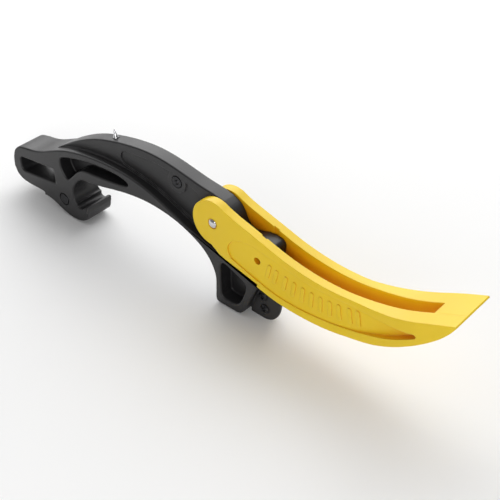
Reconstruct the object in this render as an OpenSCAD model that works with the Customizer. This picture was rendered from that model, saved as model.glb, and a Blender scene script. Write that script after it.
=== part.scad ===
// Folding rescue wrench: a black forged body with a gas-valve key, a coupling
// hook and a belt cutter, and a yellow forked handle that folds over the body.
// Millimetres. +X runs from the hook end to the handle tip, +Y across the width,
// +Z up. The origin is the bottom centre of the open wrench standing on its belly.

/* [Body] */
// Full width of the head, flange and bracket
body_w = 19; // [18:0.5:21]
// Thickness of the web that the handle arms straddle
web_t = 8.9; // [8.5:0.1:9.3]
// Thickness of metal left in the middle of the two blind pockets
pocket_floor = 2.6; // [1.5:0.1:4]
// Depth of the shallow relief in each side of the web
relief_depth = 0.8; // [0.3:0.1:1]

/* [Gas key] */
// Length of the slot where it opens at the face
gas_face_l = 30; // [26:0.5:31]
// Length of the slot that goes right through
gas_through_l = 19.5; // [16:0.5:22]
// Height of the slot
gas_h = 9.3; // [8:0.1:9.6]

/* [Pivot and detent] */
// Radius of the pivot pin
pin_r = 2.5; // [2:0.1:3]
// Radial clearance of the pin in its bushes
pin_gap = 0.05; // [0.02:0.01:0.1]
// Outside radius of the bushes
bush_r = 3.5; // [3.2:0.1:4]
// Distance from the pivot to the detent and to the hole in the arms
detent_orbit = 30.6; // [29:0.1:32]
// Radius of the detent balls
ball_r = 1.75; // [1.5:0.05:1.9]
// How far a ball stands out of the web
ball_out = 0.6; // [0.4:0.05:0.7]

/* [Handle] */
// Gap between each arm and the web
arm_gap = 0.1; // [0.05:0.05:0.2]
// Radius of the rounded ends of the arms
arm_end_r = 13.2; // [12:0.1:13.4]
// Extra half width of the handle at its tip
flare = 4.7; // [2:0.1:5]
// Depth of the side panel below the outer face of an arm
panel_depth = 0.7; // [0.4:0.1:1.2]
// Number of raised grip bars in each panel
bar_count = 11; // [5:1:13]

/* [Cutter and punch] */
// Thickness of the cutter's cover plate
cover_t = 1.5; // [1:0.1:2]
// Thickness of the cutter blade
blade_t = 0.7; // [0.5:0.1:1]
// Radius of the glass punch where it leaves the web
punch_r = 1.65; // [1.2:0.05:2]
// Height of the glass punch above the web
punch_h = 5.4; // [4:0.1:6]

/* [Hidden] */
$fn = 64;

// Side-view places, [x, z]
pivot = [6.8, 49];
fold_angle = 179;
hole_angle = -16.9;
hole_at = pivot + detent_orbit * [cos(hole_angle), sin(hole_angle)];
detent_at = pivot + detent_orbit * [cos(hole_angle + fold_angle), sin(hole_angle + fold_angle)];
plug_at = [-106.9, 10.2];
punch_at = [-70.6, 62.4];
punch_tilt = 16;
gas_at = [-143.3, 18.8];
gas_tilt = 7.4;
screw_upper_at = [37.7, 15.6];
screw_lower_at = [39.2, 7.9];

// Derived half widths and depths
half_w = body_w / 2;
half_web = web_t / 2;
arm_in = half_web + arm_gap;
slot_end_x = 133.8;
panel_y = half_w - panel_depth;
groove_depth = ball_out - arm_gap + 0.1;
ball_y = half_web + ball_out - ball_r;

// Fits and small hardware
plug_r = 3.25;
plug_ring_r = 3.9;
plug_ring_d = 1.1;
sleeve_r = 3.15;
sleeve_bore = ball_r + 0.05;
sleeve_lip_r = 1.5;
sleeve_lip_t = 0.2;
bush_flange_r = 5.2;
bush_flange_t = 0.6;
hole_r = 2;
pin_dome = 0.9;
pin_recess_r = 2.95;
screw_r = 1.25;
screw_hole_r = 1.35;
head_r = 2.75;
head_h = 1.1;
socket_r = 1.25;
socket_d = 0.9;
wire_r = 0.17;
coil_r = 1.35;
coil_turns = 4;
coil_end = 1.88;

// A smooth curve through the points p, with n straight steps between neighbours
function blend4(a, b, c, d, t) = 0.5 * (2 * b + (c - a) * t + (2 * a - 5 * b + 4 * c - d) * t * t
    + (3 * b - a - 3 * c + d) * t * t * t);
function curve(p, n = 4) = concat([for (i = [0 : len(p) - 2]) for (s = [0 : n - 1])
    blend4(p[max(i - 1, 0)], p[i], p[i + 1], p[min(i + 2, len(p) - 1)], s / n)], [p[len(p) - 1]]);
function loop(p, n = 4) = [for (i = [0 : len(p) - 1]) for (s = [0 : n - 1])
    blend4(p[(i + len(p) - 1) % len(p)], p[i], p[(i + 1) % len(p)], p[(i + 2) % len(p)], s / n)];
// Points on an arc about c from angle a0 to a1
function arc(c, r, a0, a1, n = 12) = [for (i = [0 : n])
    let (a = a0 + (a1 - a0) * i / n) c + r * [cos(a), sin(a)]];

// Top of the head, then the ledge that the folded arms lie over, hook end to bracket
head_top = curve([[-150, 14.5], [-150, 20.5], [-148.3, 26], [-144.5, 29.6], [-138.5, 31.4],
    [-131.5, 32.7], [-125, 34.8], [-116, 39.1], [-107, 43.2], [-98, 46.2], [-86, 48.8],
    [-74, 50.3], [-62, 50.7], [-50, 49.8], [-37, 47.3], [-22.5, 42.4], [-8, 37.2], [8, 32.9]]);
// Straight stop ledge that the open arms rest on
stop_from = [12, 31.7];
stop_to = [37.4, 24.1];
bracket_side = curve([[37.2, 23.2], [33.8, 15.2], [30.8, 7.6], [28.9, 3], [26.6, 0.6], [24.5, 0]]);
bracket_back = curve([[13, 0], [10.8, 0.6], [9.8, 2.6], [9.7, 9], [9.2, 16.3], [7, 21.8],
    [3.5, 26.6], [-1.4, 30.7], [-8.4, 34.3], [-15.5, 37], [-26, 39.1], [-37, 39.9], [-48, 39.2],
    [-60, 37.1], [-77, 32.9], [-85.2, 31.3]]);
hook_throat = curve([[-87.6, 31.1], [-91.2, 30.2], [-94.6, 27.4], [-97.9, 22.2], [-98.6, 17.2],
    [-97.7, 13.8], [-96.6, 12.5]]);
hook_groove = curve([[-95.7, 12.3], [-95.4, 10.6], [-94, 9.8], [-92, 9.9], [-90.6, 11.2],
    [-89.4, 12.1], [-88.2, 11.8]]);
hook_belly = curve([[-87.6, 9.5], [-87.9, 5.6], [-89.6, 3.1], [-93.7, 0.9], [-98.5, 0],
    [-103.5, 0.3], [-109.8, 1.9], [-114, 3.5], [-118.5, 4.8], [-124, 5.3]]);
head_belly = curve([[-124.3, 7], [-131.5, 6.9], [-138, 6.8], [-143.6, 7.6], [-147.8, 10.2]]);
full_outline = concat(head_top, [stop_from, stop_to], bracket_side, bracket_back, hook_throat,
    hook_groove, hook_belly, head_belly);

// The web: arched back, round pivot boss, and the tail that carries the cutter
web_back = curve([[-119, 35], [-115.2, 39.4], [-108.5, 44.3], [-100, 50], [-91, 55.1],
    [-81, 59.5], [-70.5, 62.8], [-59, 65.5], [-48, 67.2], [-38, 67.7], [-28, 67], [-18, 65.5],
    [-8, 63.8], [2, 62.7]]);
web_nose = curve([[9, 61.5], [14.2, 58.9], [17.4, 55.2], [19, 51.9], [21.4, 49], [25, 47.8],
    [29, 48.6], [34, 50.1], [39, 50.3], [42.2, 49.8], [43.8, 48]]);
tail_foot = curve([[44, 8], [43, 5], [40.5, 3.4], [38, 3]]);
web_outline = concat(web_back, web_nose, tail_foot, [[29, 4], [20, 20], [12, 29], [-8, 35.8],
    [-26, 41], [-45, 43.5], [-64, 42], [-85, 40], [-105, 36]]);

pocket_outline = loop([[-108, 33], [-107.3, 37.6], [-102.5, 40.2], [-92, 43.3], [-82, 45.6],
    [-72, 46.7], [-62, 46.9], [-55.6, 46], [-53.6, 44.3], [-56, 42.6], [-66, 40.7], [-79, 38.9],
    [-87.4, 37.9], [-92.6, 35.6], [-97, 31.4], [-101, 27], [-103.2, 26], [-105.8, 28.6]]);
bracket_pocket = loop([[12.8, 20], [12.6, 25], [14.6, 27.4], [20.5, 25.7], [27, 23],
    [29.7, 20.2], [28.8, 14.5], [26.4, 8.2], [23.6, 5.2], [18.5, 4.6], [14.4, 5.8], [13.4, 10]]);

// Shallow relief in the web between the round step and the pivot boss
relief_outline = concat(curve([[-55, 61.6], [-60.6, 60.6], [-63, 57.6], [-62.6, 54.4],
    [-60.6, 52.2]]), curve([[-50, 51.1], [-37, 48.6], [-22.5, 43.8], [-10, 39.4]]),
    arc(pivot, 14.2, 218, 152), curve([[-8.5, 58.6], [-17, 61], [-28, 62.8], [-40, 63.3]]));
detent_boss_r = 6.3;

// Belt cutter: throat open to the handle side, cover plate and blade
throat_low = 25.8;
throat_high = 32.2;
throat_back = 38.6;
cover_outline = concat([[38, 24.6], [34.4, 15.1], [31.4, 7.5], [30.4, 4.8]],
    curve([[30.3, 2.2], [31.4, 1.6], [36, 1.5], [40.5, 1.6], [44.6, 3.4], [47.6, 7.2], [49, 12],
    [49.2, 17], [49.2, 25.8]]),
    [[throat_back, throat_low], [throat_back, throat_high], [49.2, throat_high]],
    curve([[49.2, 34], [48.4, 38], [45.8, 40.6], [42, 41.6]]), [[31, 41.6], [30.6, 27]]);
blade_outline = [[34, 4.6], [42.4, 4.6], [43.2, 14], [45.6, 24.4], [41.2, 34.8], [36.4, 36.4],
    [38.2, 26], [38.1, 24.2], [34.6, 13]];

// Handle side view: slotted top edge, chisel tip and belly
handle_top = curve([[14.2, 60.1], [20.6, 57.9], [30, 55.4], [40, 52.7], [50, 50], [60, 48.1],
    [70, 47], [78, 46.7], [88, 47.1], [98, 48.5], [108, 50.6], [118, 53.5], [126.5, 56.9],
    [134, 60.5], [142, 64.2], [149.2, 67.4]]);
handle_belly = curve([[149.9, 66.9], [147, 61.9], [142.6, 56.2], [136, 49.6], [128, 42.8],
    [118, 35.6], [107, 29.5], [95, 25.2], [83, 22.4], [71, 21.2], [59, 21.1], [48, 22.1],
    [38, 24.3]]);
handle_outline = concat(handle_top, handle_belly, [[12, 32.1]],
    arc(pivot, arm_end_r, 268, 62, 40));

// Handle plan view, [x, y]: parallel arms that widen towards the tip
edge_plan = curve([[92, half_w], [100, half_w + 0.15 * flare], [110, half_w + 0.42 * flare],
    [120, half_w + 0.7 * flare], [130, half_w + 0.9 * flare], [140, half_w + 0.98 * flare],
    [151, half_w + flare]]);
plan_outline = concat([[-10, half_w]], edge_plan,
    [for (i = [len(edge_plan) - 1 : -1 : 0]) [edge_plan[i][0], -edge_plan[i][1]]],
    [[-10, -half_w]]);

panel_outline = concat(curve([[130.4, 51.1], [128.6, 50.6], [125, 49.4], [115, 47.3],
    [104, 45.7], [92, 44.4], [78, 43.4], [66, 43.6], [54, 45.2], [44, 46.7], [34, 47.9]]),
    curve([[26, 47.4], [20.6, 45], [17.6, 41], [17.4, 37], [19.6, 33.6]]),
    curve([[25.5, 31.6], [38, 28.2], [48, 25.9], [59, 25.1], [71, 25.6], [83, 27.2], [95, 30],
    [106, 34.2], [117, 39.6], [127, 46.2]]), curve([[129.6, 48.1], [131, 49.3], [131.3, 50.5]], 3));

// Centre line of the raised bars, and their size
bar_line = curve([[43.5, 37.4], [54, 35.6], [65, 34.6], [76, 34.8], [87, 36.2], [98, 38.6]], 8);
bar_w = 2.2;
bar_h = 9;

// Solid between y0 and y1 with the side view p
module side_plate(p, y0, y1) {
    translate([0, y1, 0]) rotate([90, 0, 0]) linear_extrude(y1 - y0) polygon(p);
}

// Rod along Y between y0 and y1 at the side-view place c
module cross_rod(c, r, y0, y1) {
    translate([c[0], y1, c[1]]) rotate([90, 0, 0]) cylinder(h = y1 - y0, r = r);
}

// The same child on the near side and, mirrored, on the far side
module both_sides() {
    children();
    mirror([0, 1, 0]) children();
}

module gas_slot_cut() {
    r = 2.6;
    h = gas_h / 2;
    slot = concat(arc([r, h - r], r, 90, 180, 6), arc([r, r - h], r, 180, 270, 6),
        [[gas_through_l, -h], [gas_through_l, h]]);
    slope = (half_w - 1) / (gas_face_l - gas_through_l);
    mouth = [[gas_through_l - 1, 1 - slope], [gas_face_l + 1 / slope, half_w + 1],
        [gas_through_l - 1, half_w + 1]];
    translate([gas_at[0], 0, gas_at[1]]) rotate([0, -gas_tilt, 0]) {
        side_plate(slot, -half_w - 1, half_w + 1);
        both_sides() translate([0, 0, -h]) linear_extrude(gas_h) polygon(mouth);
    }
}

module wrench_body() {
    color([0.13, 0.13, 0.14]) difference() {
        union() {
            side_plate(full_outline, -half_w, half_w);
            side_plate(web_outline, -half_web, half_web);
        }
        gas_slot_cut();
        both_sides() {
            side_plate(pocket_outline, -half_w - 1, -pocket_floor / 2);
            side_plate(bracket_pocket, -half_w - 1, -pocket_floor / 2);
            web_relief();
            cross_rod(plug_at, plug_ring_r, -half_w - 1, -half_w + plug_ring_d);
            cross_rod(pivot, bush_flange_r, -half_web - 1, -half_web + bush_flange_t);
        }
        cross_rod(plug_at, plug_r, -half_w - 1, half_w + 1);
        cross_rod(pivot, bush_r, -half_web - 1, half_web + 1);
        cross_rod(detent_at, sleeve_r, -half_web - 1, half_web + 1);
        translate([punch_at[0], 0, punch_at[1]]) rotate([0, -punch_tilt, 0])
            translate([0, 0, -9]) cylinder(h = 12, r = punch_r);
        cutter_seat();
    }
}

// Relief cut in the near face of the web, round the detent's boss
module web_relief() {
    difference() {
        side_plate(relief_outline, -half_web - 1, -half_web + relief_depth);
        cross_rod(detent_at, detent_boss_r, -half_web - 2, 0);
    }
}

// Room in the tail for the cover plate, the blade, its screws and the belt
module cutter_seat() {
    side_plate(cover_outline, -half_web - 1, -half_web + cover_t);
    side_plate(blade_outline, -half_web - 1, -half_web + cover_t + blade_t);
    translate([throat_back, -half_web - 1, throat_low])
        cube([20, web_t + 2, throat_high - throat_low]);
    cross_rod(screw_upper_at, screw_r, -half_web - 1, half_web - 1);
    cross_rod(screw_lower_at, screw_r, -half_web - 1, half_web - 1);
}

module hook_plug() {
    color([0.16, 0.16, 0.17]) cross_rod(plug_at, plug_r, -half_w, half_w);
}

module glass_punch() {
    shank = 9;
    color([0.78, 0.78, 0.8]) translate([punch_at[0], 0, punch_at[1]]) rotate([0, -punch_tilt, 0]) {
        translate([0, 0, -shank]) cylinder(h = shank + 0.6, r = punch_r);
        translate([0, 0, 0.6]) cylinder(h = 1.2, r1 = punch_r, r2 = punch_r * 0.72);
        translate([0, 0, 1.8]) cylinder(h = punch_h - 1.8, r1 = punch_r * 0.72, r2 = 0.12);
    }
}

// Sleeve through the web that holds a spring between two balls, lipped at both ends
module detent_sleeve() {
    color([0.3, 0.3, 0.32]) difference() {
        cross_rod(detent_at, sleeve_r, -half_web, half_web);
        cross_rod(detent_at, sleeve_lip_r, -half_web - 1, half_web + 1);
        cross_rod(detent_at, sleeve_bore, -half_web + sleeve_lip_t, half_web - sleeve_lip_t);
    }
}

module detent_ball(side) {
    color([0.75, 0.75, 0.77]) translate([detent_at[0], side * ball_y, detent_at[1]])
        sphere(r = ball_r);
}

// Coil spring along Y, one ring of points for each step of the helix
module detent_spring() {
    steps = 18 * coil_turns;
    sides = 8;
    rings = [for (i = [0 : steps]) let (a = 360 * coil_turns * i / steps,
        out = [cos(a), 0, sin(a)], y = -coil_end + 2 * coil_end * i / steps)
        for (j = [0 : sides - 1]) let (b = 360 * j / sides)
        (coil_r + wire_r * cos(b)) * out + [0, y + wire_r * sin(b), 0]];
    walls = [for (i = [0 : steps - 1]) for (j = [0 : sides - 1]) let (k = (j + 1) % sides)
        [i * sides + j, (i + 1) * sides + j, (i + 1) * sides + k, i * sides + k]];
    ends = [[for (j = [0 : sides - 1]) j], [for (j = [sides - 1 : -1 : 0]) steps * sides + j]];
    color([0.7, 0.7, 0.72]) translate([detent_at[0], 0, detent_at[1]])
        polyhedron(rings, concat(walls, ends), convexity = 4);
}

// Flanged bush in one end of the web's pivot bore
module pivot_bush(side) {
    color([0.72, 0.55, 0.28]) mirror([0, side > 0 ? 1 : 0, 0]) difference() {
        union() {
            cross_rod(pivot, bush_r, -half_web, -0.2);
            cross_rod(pivot, bush_flange_r, -half_web, -half_web + bush_flange_t);
        }
        cross_rod(pivot, pin_r + pin_gap, -half_web - 1, 1);
    }
}

// Straight pin, pressed into both arms, with a low dome on each end
module pivot_pin() {
    dome_r = (pin_r * pin_r + pin_dome * pin_dome) / (2 * pin_dome);
    span = asin(pin_r / dome_r);
    steps = 8;
    dome = [for (i = [0 : steps]) let (a = span * i / steps)
        [dome_r * sin(a), half_w + pin_dome - dome_r + dome_r * cos(a)]];
    profile = concat(dome, [for (i = [steps : -1 : 0]) [dome[i][0], -dome[i][1]]]);
    color([0.85, 0.85, 0.87]) translate([pivot[0], 0, pivot[1]]) rotate([90, 0, 0])
        rotate_extrude() polygon(profile);
}

// The whole forked handle before it is split into its two mouldings
module handle_blank() {
    difference() {
        intersection() {
            side_plate(handle_outline, -25, 25);
            linear_extrude(80) polygon(plan_outline);
        }
        translate([-20, -arm_in, 0]) cube([slot_end_x + 20, 2 * arm_in, 90]);
        both_sides() {
            side_plate(panel_outline, -25, -panel_y);
            cross_rod(pivot, pin_recess_r, -half_w - 1, -half_w + 0.6);
            detent_groove();
        }
        cross_rod(pivot, pin_r, -25, 25);
        cross_rod(hole_at, hole_r, -25, 25);
    }
    both_sides() grip_bars();
}

// Groove in the inner face of an arm that clears the ball until it drops in the hole
module detent_groove() {
    half_track = ball_r - 0.2;
    from = hole_angle;
    to = hole_angle + 40;
    track = concat(arc(pivot, detent_orbit + half_track, from, to, 16),
        arc(pivot, detent_orbit - half_track, to, from, 16));
    side_plate(track, -arm_in - groove_depth, -arm_in + 1);
}

// Row of upright raised bars along the panel
module grip_bars() {
    step = (len(bar_line) - 1) / (bar_count - 1);
    for (i = [0 : bar_count - 1]) {
        k = floor(i * step);
        at = bar_line[k];
        next = bar_line[min(k + 1, len(bar_line) - 1)];
        prev = bar_line[max(k - 1, 0)];
        turn = atan2(next[1] - prev[1], next[0] - prev[0]);
        translate([at[0], -panel_y + 0.2, at[1]]) rotate([90, -turn, 0])
            linear_extrude(panel_depth) {
                square([bar_w, bar_h - bar_w], center = true);
                for (s = [-1, 1]) translate([0, s * (bar_h - bar_w) / 2]) circle(d = bar_w, $fn = 24);
            }
    }
}

module handle_main() {
    color([0.95, 0.82, 0.1]) intersection() {
        handle_blank();
        translate([-50, -arm_in, -10]) cube([250, 60, 120]);
    }
}

module handle_cover() {
    color([0.95, 0.82, 0.1]) intersection() {
        handle_blank();
        translate([-50, -60, -10]) cube([250, 60 - arm_in, 120]);
    }
}

module cutter_cover() {
    color([0.15, 0.15, 0.16]) difference() {
        side_plate(cover_outline, -half_web, -half_web + cover_t);
        cross_rod(screw_upper_at, screw_hole_r, -half_web - 1, 0);
        cross_rod(screw_lower_at, screw_hole_r, -half_web - 1, 0);
    }
}

module cutter_blade() {
    face = -half_web + cover_t;
    color([0.8, 0.8, 0.82]) difference() {
        side_plate(blade_outline, face, face + blade_t);
        cross_rod(screw_upper_at, screw_hole_r, -half_web, 0);
        cross_rod(screw_lower_at, screw_hole_r, -half_web, 0);
    }
}

// Button-head screw with a hexagon socket
module cutter_screw(at) {
    color([0.2, 0.2, 0.21]) difference() {
        union() {
            cross_rod(at, screw_r, -half_web, half_web - 1);
            translate([at[0], -half_web, at[1]]) rotate([90, 0, 0]) {
                cylinder(h = head_h * 0.45, r = head_r);
                translate([0, 0, head_h * 0.45])
                    cylinder(h = head_h * 0.55, r1 = head_r, r2 = head_r * 0.62);
            }
        }
        translate([at[0], -half_web - head_h + socket_d, at[1]]) rotate([90, 0, 0])
            cylinder(h = 2, r = socket_r, $fn = 6);
    }
}

wrench_body();
hook_plug();
glass_punch();
detent_sleeve();
detent_ball(-1);  // detent_ball_near
detent_ball(1);  // detent_ball_far
detent_spring();
pivot_bush(-1);  // pivot_bush_near
pivot_bush(1);  // pivot_bush_far
pivot_pin();
handle_main();
handle_cover();
cutter_cover();
cutter_blade();
cutter_screw(screw_upper_at);  // cutter_screw_upper
cutter_screw(screw_lower_at);  // cutter_screw_lower
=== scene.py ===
"""Looks of the folding rescue wrench: bevelled shells over the CAD shapes, materials, light, camera."""
import math

import bmesh
import bpy
from mathutils import Matrix, Vector

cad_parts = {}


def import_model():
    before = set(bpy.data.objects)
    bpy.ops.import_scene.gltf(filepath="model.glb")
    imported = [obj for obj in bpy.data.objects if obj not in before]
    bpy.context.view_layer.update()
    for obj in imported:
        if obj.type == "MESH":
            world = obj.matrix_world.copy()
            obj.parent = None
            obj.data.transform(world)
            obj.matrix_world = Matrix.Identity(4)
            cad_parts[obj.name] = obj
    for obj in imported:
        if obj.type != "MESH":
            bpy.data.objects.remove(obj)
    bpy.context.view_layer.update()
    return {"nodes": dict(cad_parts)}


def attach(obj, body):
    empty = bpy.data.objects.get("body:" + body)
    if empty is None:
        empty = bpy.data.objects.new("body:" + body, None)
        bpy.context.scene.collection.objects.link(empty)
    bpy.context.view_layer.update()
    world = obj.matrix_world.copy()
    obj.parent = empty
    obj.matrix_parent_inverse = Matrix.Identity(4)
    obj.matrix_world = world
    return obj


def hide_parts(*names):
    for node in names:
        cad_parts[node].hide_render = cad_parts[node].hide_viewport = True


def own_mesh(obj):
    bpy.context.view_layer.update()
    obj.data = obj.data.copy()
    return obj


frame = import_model()
MM = 0.001

PIVOT_X, PIVOT_Z = 6.8 * MM, 49 * MM    # centre of the pivot pin
WELD = 0.003 * MM                       # closer points of a CAD mesh become one
SAME_PLANE_DEG = 0.25                   # a smaller bend between two faces counts as flat
RIM_BEND_DEG = 24                       # a sharper edge between a face and a wall is rounded
WALL_BEND_DEG = 60                      # a sharper edge between two side walls is rounded
GAP_SHARE = 0.3                         # a bevel takes this share of the flat beside it
WIDTH_SLOPE = 0.35                      # how fast a bevel may widen along its edge
WIDTH_PASSES = 16
BEVEL_STEPS = 3
FLOOR_HALF_SIZE = 1.6
FLOOR_DROP = 0.4 * MM                   # keeps the floor clear of the lowest CAD points


# ---------------------------------------------------------------- materials
class Nodes:
    """A small helper that adds and links shader nodes of one material."""

    def __init__(self, name):
        self.mat = bpy.data.materials.new(name)
        self.mat.use_nodes = True
        self.tree = self.mat.node_tree
        self.tree.nodes.clear()
        self.shader = self.add("ShaderNodeBsdfPrincipled")
        out = self.add("ShaderNodeOutputMaterial")
        self.link(self.shader.outputs[0], out.inputs["Surface"])
        self.place = self.add("ShaderNodeTexCoord").outputs["Object"]

    def add(self, kind, **values):
        made = self.tree.nodes.new(kind)
        for key, value in values.items():
            setattr(made, key, value)
        return made

    def link(self, a, b):
        self.tree.links.new(a, b)

    def noise(self, scale, detail=3.0, rough=0.55, stretch=None):
        """Noise with features of about 1/scale metres; stretch scales the axes."""
        tex = self.add("ShaderNodeTexNoise")
        tex.inputs["Scale"].default_value = scale
        tex.inputs["Detail"].default_value = detail
        tex.inputs["Roughness"].default_value = rough
        if stretch:
            mapping = self.add("ShaderNodeMapping")
            mapping.inputs["Scale"].default_value = stretch
            self.link(self.place, mapping.inputs["Vector"])
            self.link(mapping.outputs[0], tex.inputs["Vector"])
        else:
            self.link(self.place, tex.inputs["Vector"])
        return tex.outputs[0]

    def ramp(self, fac, stops):
        made = self.add("ShaderNodeValToRGB")
        elements = made.color_ramp.elements
        while len(elements) < len(stops):
            elements.new(0.5)
        for element, (at, colour) in zip(elements, stops):
            element.position = at
            element.color = (*colour, 1.0)
        self.link(fac, made.inputs[0])
        return made.outputs[0]

    def spread(self, fac, low, high, from_low=0.3, from_high=0.7):
        """Maps a factor to the range low..high."""
        made = self.add("ShaderNodeMapRange")
        for name, value in (("From Min", from_low), ("From Max", from_high),
                            ("To Min", low), ("To Max", high)):
            made.inputs[name].default_value = value
        self.link(fac, made.inputs["Value"])
        return made.outputs[0]

    def math(self, op, a, b):
        made = self.add("ShaderNodeMath", operation=op)
        for socket, value in zip(made.inputs, (a, b)):
            if isinstance(value, (int, float)):
                socket.default_value = value
            else:
                self.link(value, socket)
        return made.outputs[0]

    def blend(self, fac, a, b):
        """Mixes two colours, each a colour or an output."""
        made = self.add("ShaderNodeMix", data_type="RGBA")
        self.link(fac, made.inputs["Factor"])
        for socket, value in ((made.inputs[6], a), (made.inputs[7], b)):
            if isinstance(value, tuple):
                socket.default_value = (*value, 1.0)
            else:
                self.link(value, socket)
        return made.outputs[2]

    def edges(self, radius, patch_scale, low, high):
        """1 on worn outer edges, 0 elsewhere, broken up by noise."""
        bent = self.add("ShaderNodeBevel", samples=6)
        bent.inputs["Radius"].default_value = radius
        real = self.add("ShaderNodeNewGeometry")
        dot = self.add("ShaderNodeVectorMath", operation="DOT_PRODUCT")
        self.link(bent.outputs[0], dot.inputs[0])
        self.link(real.outputs["Normal"], dot.inputs[1])
        edge = self.spread(dot.outputs["Value"], 1.0, 0.0, low, high)
        patches = self.spread(self.noise(patch_scale, 4.0, 0.6), 0.0, 1.0, 0.42, 0.62)
        return self.math("MULTIPLY", edge, patches)

    def rounded(self, radius):
        """Normals that bend over edges as if they were rounded."""
        made = self.add("ShaderNodeBevel", samples=8)
        made.inputs["Radius"].default_value = radius
        return made.outputs[0]

    def bump(self, layers, last=None):
        """Stacks bump layers of (height, strength, distance) on the shader's normal."""
        for height, strength, distance in layers:
            made = self.add("ShaderNodeBump")
            made.inputs["Strength"].default_value = strength
            made.inputs["Distance"].default_value = distance
            self.link(height, made.inputs["Height"])
            if last is not None:
                self.link(last, made.inputs["Normal"])
            last = made.outputs[0]
        self.link(last, self.shader.inputs["Normal"])

    def set(self, **values):
        for key, value in values.items():
            self.shader.inputs[key.replace("_", " ")].default_value = value


def black_anodised():
    n = Nodes("black_anodised")
    blotch = n.noise(34, 4.0, 0.6)
    grain = n.noise(2600, 2.0, 0.5)
    base = n.ramp(blotch, [(0.3, (0.0135, 0.0130, 0.0138)), (0.7, (0.0205, 0.0198, 0.0208))])
    worn = n.edges(0.0009, 260, 0.9, 0.995)
    colour = n.blend(n.math("MULTIPLY", worn, 0.6), base, (0.115, 0.112, 0.115))
    n.link(colour, n.shader.inputs["Base Color"])
    rough = n.math("ADD", n.spread(blotch, 0.36, 0.44), n.spread(grain, -0.03, 0.03))
    n.link(n.math("SUBTRACT", rough, n.math("MULTIPLY", worn, 0.06)), n.shader.inputs["Roughness"])
    # painted shade: ambient occlusion dims the reflection in crevices, sockets and recesses, where
    # shade falls
    painted_shade_ao = n.add("ShaderNodeAmbientOcclusion", samples=8)
    painted_shade_ao.inputs["Distance"].default_value = 0.008
    n.link(n.spread(painted_shade_ao.outputs["AO"], 0.12, 0.46, 0.3, 0.9), n.shader.inputs["Specular IOR Level"])
    n.bump([(n.noise(420, 3.0, 0.5), 0.25, 0.00006), (grain, 0.35, 0.00003)])
    return n.mat


def yellow_polymer():
    n = Nodes("yellow_polymer")
    blotch = n.noise(22, 3.0, 0.5)
    flow = n.noise(60, 3.0, 0.5, (0.25, 1.0, 1.0))
    grain = n.noise(1900, 2.0, 0.5)
    open_base = n.ramp(blotch, [(0.3, (0.86, 0.59, 0.007)), (0.7, (0.93, 0.65, 0.010))])
    # painted shade: ambient occlusion turns the yellow deep orange in the arm slot and other enclosed
    # places, standing in for shade and light bounced between the yellow walls
    painted_shade_ao = n.add("ShaderNodeAmbientOcclusion", samples=8)
    painted_shade_ao.inputs["Distance"].default_value = 0.014
    base = n.blend(n.spread(painted_shade_ao.outputs["AO"], 0.0, 1.0, 0.28, 0.75), (0.84, 0.37, 0.003), open_base)
    worn = n.edges(0.0008, 200, 0.9, 0.995)
    colour = n.blend(n.math("MULTIPLY", worn, 0.35), base, (0.98, 0.76, 0.10))
    n.link(colour, n.shader.inputs["Base Color"])
    rough = n.math("ADD", n.spread(flow, 0.37, 0.45), n.spread(grain, -0.02, 0.02))
    n.link(rough, n.shader.inputs["Roughness"])
    n.set(Subsurface_Weight=0.06, Subsurface_Radius=(0.0022, 0.0012, 0.0003), Specular_IOR_Level=0.42)
    n.shader.inputs["Subsurface Scale"].default_value = 1.0
    n.bump([(n.noise(150, 2.0, 0.5), 0.12, 0.00012), (grain, 0.3, 0.00003)],
           n.rounded(0.00055))
    return n.mat


def metal(name, low, high, rough_low, rough_high, turned=False, wear=(0.9, 0.9, 0.9)):
    """Bare or coated metal with fine scratches; turned adds rings about Y."""
    n = Nodes(name)
    scratch = n.noise(900, 3.0, 0.6, (1.0, 0.12, 1.0))
    blotch = n.noise(240, 3.0, 0.5)
    base = n.ramp(blotch, [(0.3, low), (0.7, high)])
    worn = n.edges(0.0004, 700, 0.88, 0.99)
    n.link(n.blend(n.math("MULTIPLY", worn, 0.6), base, wear), n.shader.inputs["Base Color"])
    n.link(n.spread(scratch, rough_low, rough_high), n.shader.inputs["Roughness"])
    n.set(Metallic=1.0)
    layers = [(scratch, 0.25, 0.00002)]
    if turned:
        rings = n.add("ShaderNodeTexWave", wave_type="RINGS", rings_direction="SPHERICAL")
        rings.inputs["Scale"].default_value = 1500
        rings.inputs["Distortion"].default_value = 0.6
        centre = n.add("ShaderNodeMapping")
        centre.inputs["Location"].default_value = turned
        n.link(n.place, centre.inputs["Vector"])
        n.link(centre.outputs[0], rings.inputs["Vector"])
        layers.append((rings.outputs[0], 0.12, 0.000012))
    n.bump(layers)
    return n.mat


BLACK = black_anodised()
YELLOW = yellow_polymer()
STEEL = metal("polished_steel", (0.62, 0.62, 0.64), (0.74, 0.74, 0.75), 0.14, 0.24,
              turned=(-PIVOT_X, 0.0, -PIVOT_Z))
DARK_STEEL = metal("black_steel", (0.035, 0.035, 0.038), (0.06, 0.06, 0.063), 0.3, 0.42,
                   wear=(0.2, 0.2, 0.2))
BRONZE = metal("bearing_bronze", (0.42, 0.25, 0.09), (0.52, 0.33, 0.13), 0.28, 0.4,
               wear=(0.7, 0.5, 0.25))
BLADE = metal("blade_steel", (0.46, 0.46, 0.48), (0.58, 0.58, 0.6), 0.2, 0.32)


# ---------------------------------------------------------------- shells over the CAD shapes
def flat_regions(bm):
    """Groups of joined faces that lie in one plane."""
    seen, groups = set(), []
    for first in bm.faces:
        if first in seen:
            continue
        group, stack = {first}, [first]
        while stack:
            for e in stack.pop().edges:
                if len(e.link_faces) == 2 and e.calc_face_angle(1.0) < math.radians(SAME_PLANE_DEG):
                    for f in e.link_faces:
                        if (f not in group and f not in seen
                                and f.normal.angle(first.normal) < math.radians(2 * SAME_PLANE_DEG)):
                            group.add(f)
                            stack.append(f)
        seen |= group
        groups.append(group)
    return groups


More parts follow.
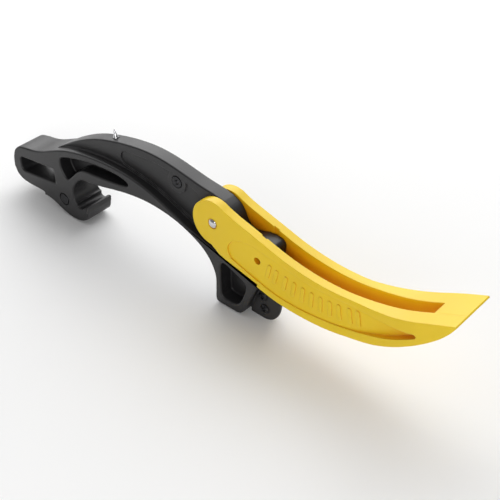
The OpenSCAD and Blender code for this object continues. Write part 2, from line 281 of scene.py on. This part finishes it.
def rims(group):
    """The region's boundary as sets of vertices, one set for each rim, the longest first."""
    links = {}
    for f in group:
        for e in f.edges:
            if sum(x in group for x in e.link_faces) == 1:
                for v in e.verts:
                    links.setdefault(v, []).append(e.other_vert(v))
    found = []
    while links:
        first = next(iter(links))
        rim, stack = {first}, [first]
        while stack:
            for v in links.pop(stack.pop(), []):
                if v not in rim:
                    rim.add(v)
                    stack.append(v)
        found.append(rim)
    return sorted(found, key=len, reverse=True)


def inner_edges(group):
    """Edges with a face of the group on both sides."""
    return {e for f in group for e in f.edges
            if len(e.link_faces) == 2 and all(x in group for x in e.link_faces)}


def bridge_cost(e):
    """Short edges that leave both rims squarely make the best bridges."""
    worst = 1.0
    for v in e.verts:
        along = e.other_vert(v).co - v.co
        for other in v.link_edges:
            if other.calc_face_angle(0.0) > math.radians(1):
                side = other.other_vert(v).co - v.co
                worst = min(worst, math.sin(along.angle(side, 0.0)))
    return e.calc_length() / max(worst, 0.05) ** 1.5


def bridges(inner, found):
    """Two edges from each inner rim to the rims already joined."""
    kept, used = [], set()
    joined, left = set(found[0]), list(found[1:])
    while left:
        offers = [(bridge_cost(e), i, e) for i, rim in enumerate(left) for e in inner
                  if (e.verts[0] in rim and e.verts[1] in joined)
                  or (e.verts[1] in rim and e.verts[0] in joined)]
        if not offers:
            return None
        best, at, first = min(offers, key=lambda x: x[0])
        middle = (first.verts[0].co + first.verts[1].co) / 2
        second = None
        for cost, i, e in offers:
            if i != at or set(e.verts) & set(first.verts):
                continue
            apart = ((e.verts[0].co + e.verts[1].co) / 2 - middle).length
            rank = cost / max(apart, 1e-6)
            if second is None or rank < second[0]:
                second = (rank, e)
        if second is None:
            return None
        kept += [first, second[1]]
        joined |= left.pop(at)
    return kept


def merge_flats(bm):
    """Turns each flat region into one face, or a few faces where it has holes.

    The first pass only evens out the triangles of regions with holes, so that the second
    finds good bridges.
    """
    for group in flat_regions(bm):
        inner = inner_edges(group)
        if not inner:
            continue
        found = rims(group)
        if len(found) > 1:
            bmesh.ops.beautify_fill(bm, faces=list(group), edges=list(inner), method="AREA")
    bm.normal_update()
    for group in flat_regions(bm):
        inner = inner_edges(group)
        if not inner:
            continue
        found = rims(group)
        kept = bridges(inner, found) if len(found) > 1 else []
        if kept is None:
            continue
        bmesh.ops.dissolve_edges(bm, edges=[e for e in inner if e not in kept], use_verts=False,
                                 use_face_split=False)
    bm.normal_update()


def outline_gap(edge, face):
    """How wide the face is, measured into it from the middle of one of its edges."""
    a, b = edge.verts[0].co, edge.verts[1].co
    mid, along = (a + b) / 2, (b - a).normalized()
    into = face.normal.cross(along)
    loop = next(x for x in face.loops if x.edge == edge)
    if (loop.vert.co - mid).dot(along) > 0:
        into = -into
    best = 1.0
    for other in face.edges:
        if other == edge:
            continue
        p, q = other.verts[0].co - mid, other.verts[1].co - mid
        px, py, qx, qy = p.dot(along), p.dot(into), q.dot(along), q.dot(into)
        if px * qx > 0 or abs(px - qx) < 1e-12:
            continue
        height = py + (qy - py) * px / (px - qx)
        if 1e-7 < height < best:
            best = height
    return best


def is_sharp(e):
    """An edge to round: corners between two side walls need a stronger bend than rims."""
    if len(e.link_faces) != 2:
        return False
    wall = all(abs(f.normal.y) < 0.5 for f in e.link_faces)
    return e.calc_face_angle(0.0) > math.radians(WALL_BEND_DEG if wall else RIM_BEND_DEG)


def bevel_widths(bm, most):
    """A bevel width for each sharp edge: at most `most`, and less on narrow faces and corners."""
    sharp = [e for e in bm.edges if is_sharp(e)]
    width = {e: min([most] + [GAP_SHARE * outline_gap(e, f) for f in e.link_faces])
             for e in sharp}
    chains = {}
    for e in sharp:
        for v in e.verts:
            chains.setdefault(v, []).append(e)
    for f in {f for e in sharp for f in e.link_faces}:
        for loop in f.loops:
            before, after = loop.link_loop_prev.edge, loop.edge
            one = before.other_vert(loop.vert).co - loop.vert.co
            two = after.other_vert(loop.vert).co - loop.vert.co
            corner = max(one.angle(two, math.pi), 0.05)
            turn = math.pi - corner
            for e, other in ((before, after), (after, before)):
                if e not in width:
                    continue
                if other in width and turn > 0.03:
                    room = 0.4 * min(e.calc_length(), other.calc_length()) / math.tan(turn / 2)
                elif other not in width:
                    room = 0.45 * other.calc_length() * max(math.sin(corner), 0.05)
                else:
                    continue
                width[e] = min(width[e], room)
    for _ in range(WIDTH_PASSES):
        near = {v: min(width[e] for e in found) for v, found in chains.items()}
        width = {e: min(w, min(near[v] for v in e.verts) + WIDTH_SLOPE * e.calc_length())
                 for e, w in width.items()}
    return width


def cad_shape(name, node):
    """A copy of a CAD node's mesh, and the same shape as a BMesh with its seams welded."""
    mesh = frame["nodes"][node].data.copy()
    mesh.name = name
    bm = bmesh.new()
    bm.from_mesh(mesh)
    layer = bm.edges.layers.float.new("bevel_weight_edge")
    bmesh.ops.remove_doubles(bm, verts=bm.verts, dist=WELD)
    bm.normal_update()
    return mesh, bm, layer


def stand_in(mesh, bm, node, body, material):
    """Makes the finished shape a piece that stands for its CAD node."""
    bm.to_mesh(mesh)
    bm.free()
    if "custom_normal" in mesh.attributes:
        mesh.attributes.remove(mesh.attributes["custom_normal"])
    mesh.materials.clear()
    mesh.materials.append(material)
    piece = bpy.data.objects.new(mesh.name, mesh)
    bpy.context.collection.objects.link(piece)
    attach(piece, body)
    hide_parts(node)
    return piece


def shell(name, node, body, material, most=0.0):
    """A CAD node's shape with edges rounded by up to `most`, or left sharp without it."""
    mesh, bm, layer = cad_shape(name, node)
    width = {}
    if most:
        merge_flats(bm)
        width = bevel_widths(bm, most)
    for e in bm.edges:
        e[layer] = width[e] / most if e in width else 0.0
        e.smooth = bool(most) or e.calc_face_angle(0.0) < math.radians(RIM_BEND_DEG)
    for f in bm.faces:
        f.smooth = True
    piece = stand_in(mesh, bm, node, body, material)
    if most:
        bevel = piece.modifiers.new("edges", "BEVEL")
        bevel.limit_method = "WEIGHT"
        bevel.width = most
        bevel.segments = BEVEL_STEPS
        bevel.use_clamp_overlap = False
        bevel.miter_outer = "MITER_SHARP"
        bevel.loop_slide = False
    normals = piece.modifiers.new("normals", "WEIGHTED_NORMAL")
    normals.mode = "FACE_AREA_WITH_ANGLE"
    normals.weight = 60
    normals.keep_sharp = not most


def half_spring(name, side):
    """Half of the detent spring, cut off at its middle plane; the real spring shortens towards the
    middle as a ball is pressed in.
    """
    mesh, bm, _ = cad_shape(name, "detent_spring")
    bmesh.ops.bisect_plane(bm, geom=bm.verts[:] + bm.edges[:] + bm.faces[:], dist=1e-7,
                           plane_co=(0, 0, 0), plane_no=(0, side, 0), clear_inner=True)
    bmesh.ops.holes_fill(bm, edges=[e for e in bm.edges if e.is_boundary])
    for f in bm.faces:
        f.smooth = len(f.verts) < 6
    piece = stand_in(mesh, bm, "detent_spring", "wrench", BLADE)
    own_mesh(piece)


def finish_node(node, material):
    """A small CAD node stays as it is and takes a finish."""
    mesh = frame["nodes"][node].data
    mesh.materials.clear()
    mesh.materials.append(material)


shell("forged_body", "wrench_body", "wrench", BLACK, 1.0 * MM)
shell("handle_far_arm", "handle_main", "handle", YELLOW)
shell("handle_near_arm", "handle_cover", "handle", YELLOW)
shell("cutter_plate", "cutter_cover", "wrench", BLACK, 0.3 * MM)
shell("coupling_plug", "hook_plug", "wrench", DARK_STEEL, 0.3 * MM)
shell("punch", "glass_punch", "wrench", STEEL, 0.2 * MM)
shell("catch_sleeve", "detent_sleeve", "wrench", DARK_STEEL, 0.2 * MM)
shell("pivot_rivet", "pivot_pin", "handle", STEEL, 0.25 * MM)
shell("blade", "cutter_blade", "wrench", BLADE, 0.1 * MM)
for which in ("upper", "lower"):
    shell(f"button_screw_{which}", f"cutter_screw_{which}", "wrench", DARK_STEEL,
          0.3 * MM)
half_spring("spring_half_near", -1)
half_spring("spring_half_far", 1)
for side in ("near", "far"):
    finish_node(f"detent_ball_{side}", DARK_STEEL)
    finish_node(f"pivot_bush_{side}", BRONZE)


# ---------------------------------------------------------------- floor, light, camera
def floor():
    size = FLOOR_HALF_SIZE
    mesh = bpy.data.meshes.new("floor")
    mesh.from_pydata([(-size, -size, 0), (size, -size, 0), (size, size, 0), (-size, size, 0)], [],
                     [(0, 1, 2, 3)])
    made = bpy.data.objects.new("floor", mesh)
    bpy.context.collection.objects.link(made)
    n = Nodes("pale_floor")
    n.link(n.ramp(n.noise(3, 2.0, 0.5), [(0.3, (0.90, 0.90, 0.90)), (0.7, (0.93, 0.93, 0.93))]),
           n.shader.inputs["Base Color"])
    n.set(Roughness=0.85)
    mesh.materials.append(n.mat)
    made.location.z = -FLOOR_DROP


def area_light(name, place, aim, size, power):
    data = bpy.data.lights.new(name, "AREA")
    data.shape = "RECTANGLE"
    data.size, data.size_y = size
    data.energy = power
    made = bpy.data.objects.new(name, data)
    made.location = place
    made.rotation_mode = "QUATERNION"
    made.rotation_quaternion = (Vector(aim) - Vector(place)).to_track_quat("-Z", "Y")
    bpy.context.collection.objects.link(made)


def world():
    """Bright at the back and overhead, dim in front, as in a small light tent."""
    made = bpy.data.worlds.new("studio")
    made.use_nodes = True
    tree = made.node_tree
    back = tree.nodes["Background"]
    place = tree.nodes.new("ShaderNodeTexCoord")
    dot = tree.nodes.new("ShaderNodeVectorMath")
    dot.operation = "DOT_PRODUCT"
    dot.inputs[1].default_value = Vector((-0.45, 0.6, 0.66)).normalized()
    ramp = tree.nodes.new("ShaderNodeValToRGB")
    for element, (at, grey) in zip(ramp.color_ramp.elements, ((0.1, 0.22), (0.95, 0.85))):
        element.position = at
        element.color = (grey, grey, grey, 1.0)
    tree.links.new(place.outputs["Generated"], dot.inputs[0])
    tree.links.new(dot.outputs["Value"], ramp.inputs[0])
    tree.links.new(ramp.outputs[0], back.inputs["Color"])
    back.inputs["Strength"].default_value = 0.9
    bpy.context.scene.world = made
    bpy.context.scene.view_settings.view_transform = "Standard"


def camera():
    """The camera that was fitted to the photograph: its axes and place in the row frame."""
    data = bpy.data.cameras.new("camera")
    data.lens, data.sensor_width = 77.98, 36.0
    made = bpy.data.objects.new("camera", data)
    right = Vector((0.76610, 0.64198, 0.03091)).normalized()
    forward = Vector((-0.49310, 0.61791, -0.61241)).normalized()
    up = right.cross(forward).normalized()
    turn = Matrix((right, up, -forward)).transposed()
    made.matrix_world = Matrix.Translation((0.2963, -0.3409, 0.3738)) @ turn.to_4x4()
    data.clip_start, data.clip_end = 0.01, 10.0
    bpy.context.collection.objects.link(made)
    bpy.context.scene.camera = made


floor()
world()
area_light("key", (-0.60, 0.80, 0.85), (0, 0, 0.03), (1.7, 1.3), 18.0)
area_light("fill", (0.55, -0.75, 0.40), (0.05, 0, 0.03), (0.5, 0.4), 3.0)
camera()
